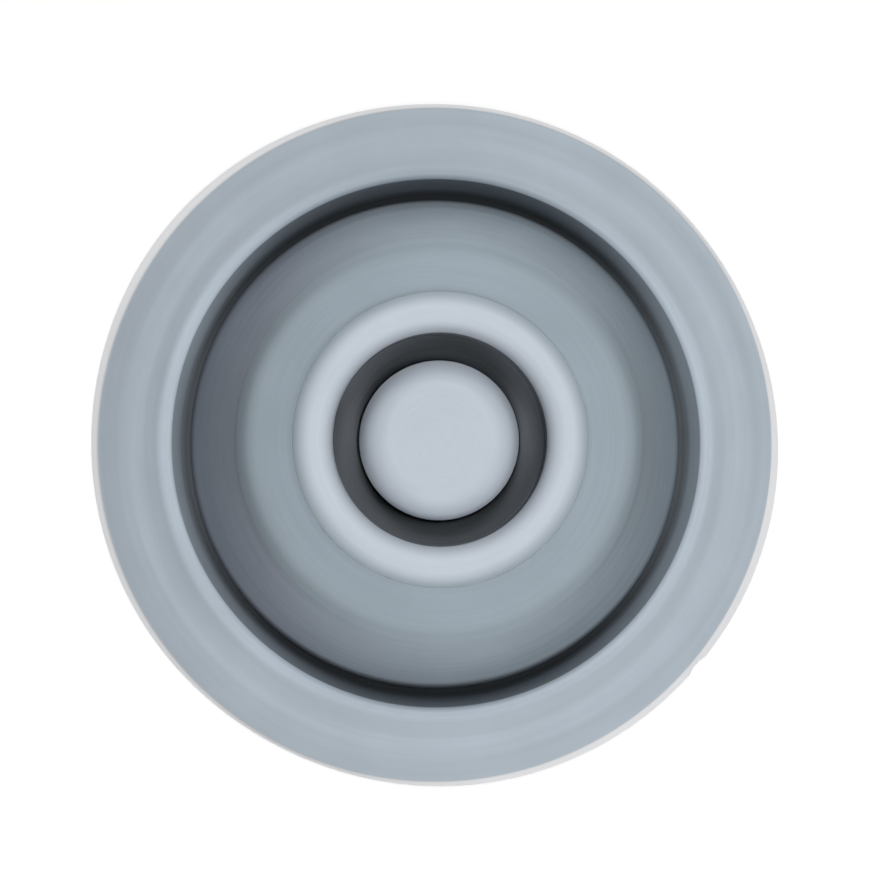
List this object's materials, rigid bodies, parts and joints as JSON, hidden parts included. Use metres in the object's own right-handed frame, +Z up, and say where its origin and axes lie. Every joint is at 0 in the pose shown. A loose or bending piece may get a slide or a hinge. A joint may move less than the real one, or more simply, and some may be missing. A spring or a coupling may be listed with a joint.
{
  "type": "press-button bath stopper",
  "caption": "Round grey bath stopper with a soft sealing skirt, a raised drum and a press button in a ring that opens a vent to break the seal.",
  "frame": {"origin": "middle of the stopper on the floor that it stands on", "axes": "+Z up along the button's axis; +X passes through the first base screw"},
  "size_m": [0.127, 0.127, 0.0282],
  "materials": {
    "skirt_silicone": "satin moulded silicone",
    "drum_plastic": "soft satin",
    "cover_plastic": "soft satin",
    "bezel_plastic": "soft satin",
    "button_plastic": "soft satin",
    "base_plastic": "fine moulded grain",
    "inner_plastic": "plain moulded",
    "seal_rubber": "matte",
    "steel": "plain stainless",
    "coated_steel": "dark rust-proof coat"
  },
  "bodies": {
    "stopper": {"sealing_skirt": "skirt_silicone", "bell_shell": "drum_plastic", "top_plate": "cover_plastic", "button_bezel": "bezel_plastic", "button_guide": "inner_plastic", "bezel_nut": "inner_plastic", "base_plate": "base_plastic", "ballast_ring": "coated_steel", "return_spring": "steel", "spring_seat": "steel", "base_screw_1": "steel", "base_screw_2": "steel", "base_screw_3": "steel", "base_screw_4": "steel", "base_screw_5": "steel", "base_screw_6": "steel"},
    "button": {"push_button": "button_plastic", "vent_stem": "inner_plastic", "vent_seal": "seal_rubber", "seal_washer": "steel", "stem_clip": "steel"}
  },
  "joints": [
    {"name": "button_press", "type": "slide", "parent": "stopper", "child": "button", "axis": [0, 0, -1], "range_m": [0, 0.003], "stiffness_N_per_m": 250, "springref_m": -0.004, "deforming": ["return_spring"]}
  ]
}
